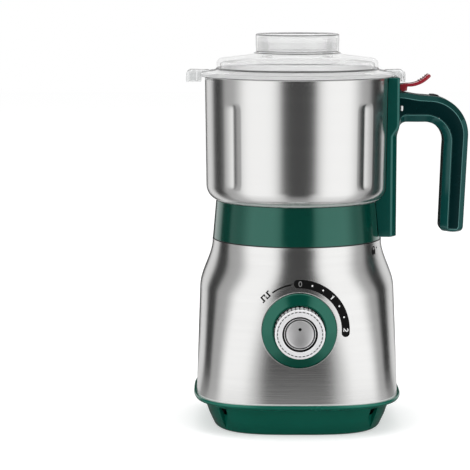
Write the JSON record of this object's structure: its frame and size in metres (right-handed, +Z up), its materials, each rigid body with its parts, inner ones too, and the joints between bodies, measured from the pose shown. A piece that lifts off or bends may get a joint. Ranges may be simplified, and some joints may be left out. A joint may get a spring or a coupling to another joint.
{
  "type": "electric coffee grinder",
  "caption": "Electric coffee grinder: steel cup with blades, clear lid with cap, side handle with red latch, on a rounded-square steel base with green trim and a front speed knob.",
  "frame": {"origin": "grinder's vertical axis on the plane it stands on", "axes": "+Z up the grinder's axis, +X towards the handle, -Y out of the front through the knob"},
  "size_m": [0.195, 0.1553, 0.2707],
  "materials": {
    "brushed_steel": "fine horizontal brushing",
    "green_plastic": "glossy dark green",
    "black_plastic": "matte",
    "black_rubber": "matte",
    "plain_steel": "plain",
    "laminations": "stacked sheet",
    "copper": "enamelled wire",
    "brass": "plain",
    "carbon": "matte",
    "chrome_knob": "bright",
    "spun_metal": "spun",
    "blade_steel": "ground",
    "red_plastic": "glossy dark red",
    "clear_plastic": "clear",
    "silicone": "translucent"
  },
  "bodies": {
    "base": {"base_shell": "brushed_steel", "bottom_cover": "green_plastic", "rubber_feet": "black_rubber", "cover_screws": "plain_steel", "cord_gland": "black_rubber", "base_deck": "black_plastic", "knob_bezel": "green_plastic", "speed_switch": "black_plastic", "switch_nut": "plain_steel", "motor_upper_bracket": "plain_steel", "motor_lower_bracket": "plain_steel", "motor_stator": "laminations", "field_coils": "copper", "motor_bolts": "plain_steel", "motor_screws": "plain_steel", "upper_bearing": "plain_steel", "lower_bearing": "plain_steel", "brush_holders": "brass", "carbon_brushes": "carbon"},
    "rotor": {"motor_shaft": "plain_steel", "armature": "laminations", "armature_windings": "copper", "commutator": "copper", "cooling_fan": "black_plastic", "drive_coupler": "black_plastic"},
    "knob": {"control_knob": "chrome_knob", "knob_insert": "spun_metal", "switch_spindle": "brass"},
    "jar": {"grinding_cup": "brushed_steel", "cup_collar": "green_plastic", "bearing_hub": "plain_steel", "hub_ring": "plain_steel", "shaft_bushes": "brass", "shaft_seal": "black_rubber", "collar_screws": "plain_steel", "handle_post": "green_plastic", "handle_grip": "green_plastic", "handle_inner_cover": "green_plastic", "handle_screws": "plain_steel", "latch_pin": "plain_steel", "latch_spring": "plain_steel", "latch_stop_pad": "black_rubber"},
    "latch": {"latch_lever": "red_plastic"},
    "blade": {"blade_shaft": "plain_steel", "blade_spacer": "plain_steel", "long_blade": "blade_steel", "star_blade": "blade_steel", "blade_nut": "plain_steel", "driven_coupler": "black_plastic"},
    "lid": {"lid": "clear_plastic", "lid_seal": "silicone"},
    "cap": {"filler_cap": "clear_plastic"}
  },
  "joints": [
    {"name": "knob_turn", "type": "hinge", "parent": "base", "child": "knob", "pos_m": [0, -0.06827, 0.074], "axis": [0, 1, 0], "range_deg": [-45, 90]},
    {"name": "rotor_spin", "type": "hinge", "parent": "base", "child": "rotor", "pos_m": [0, 0, 0.08], "axis": [0, 0, 1], "continuous": true},
    {"name": "jar_lift", "type": "slide", "parent": "base", "child": "jar", "axis": [0, 0, 1], "range_m": [0, 0.06]},
    {"name": "blade_spin", "type": "hinge", "parent": "jar", "child": "blade", "pos_m": [0, 0, 0.15], "axis": [0, 0, 1], "continuous": true},
    {"name": "latch_press", "type": "hinge", "parent": "jar", "child": "latch", "pos_m": [0.0734, 0, 0.2336], "axis": [0, 1, 0], "range_deg": [0, 32], "stiffness_Nm_per_rad": 0.05, "springref_deg": -20.05},
    {"name": "lid_lift", "type": "slide", "parent": "jar", "child": "lid", "axis": [0, 0, 1], "range_m": [0, 0.08]},
    {"name": "cap_lift", "type": "slide", "parent": "lid", "child": "cap", "axis": [0, 0, 1], "range_m": [0, 0.03]}
  ],
  "couplings": [
    {"joint": "blade_spin", "follows": "rotor_spin", "ratio": 1}
  ]
}
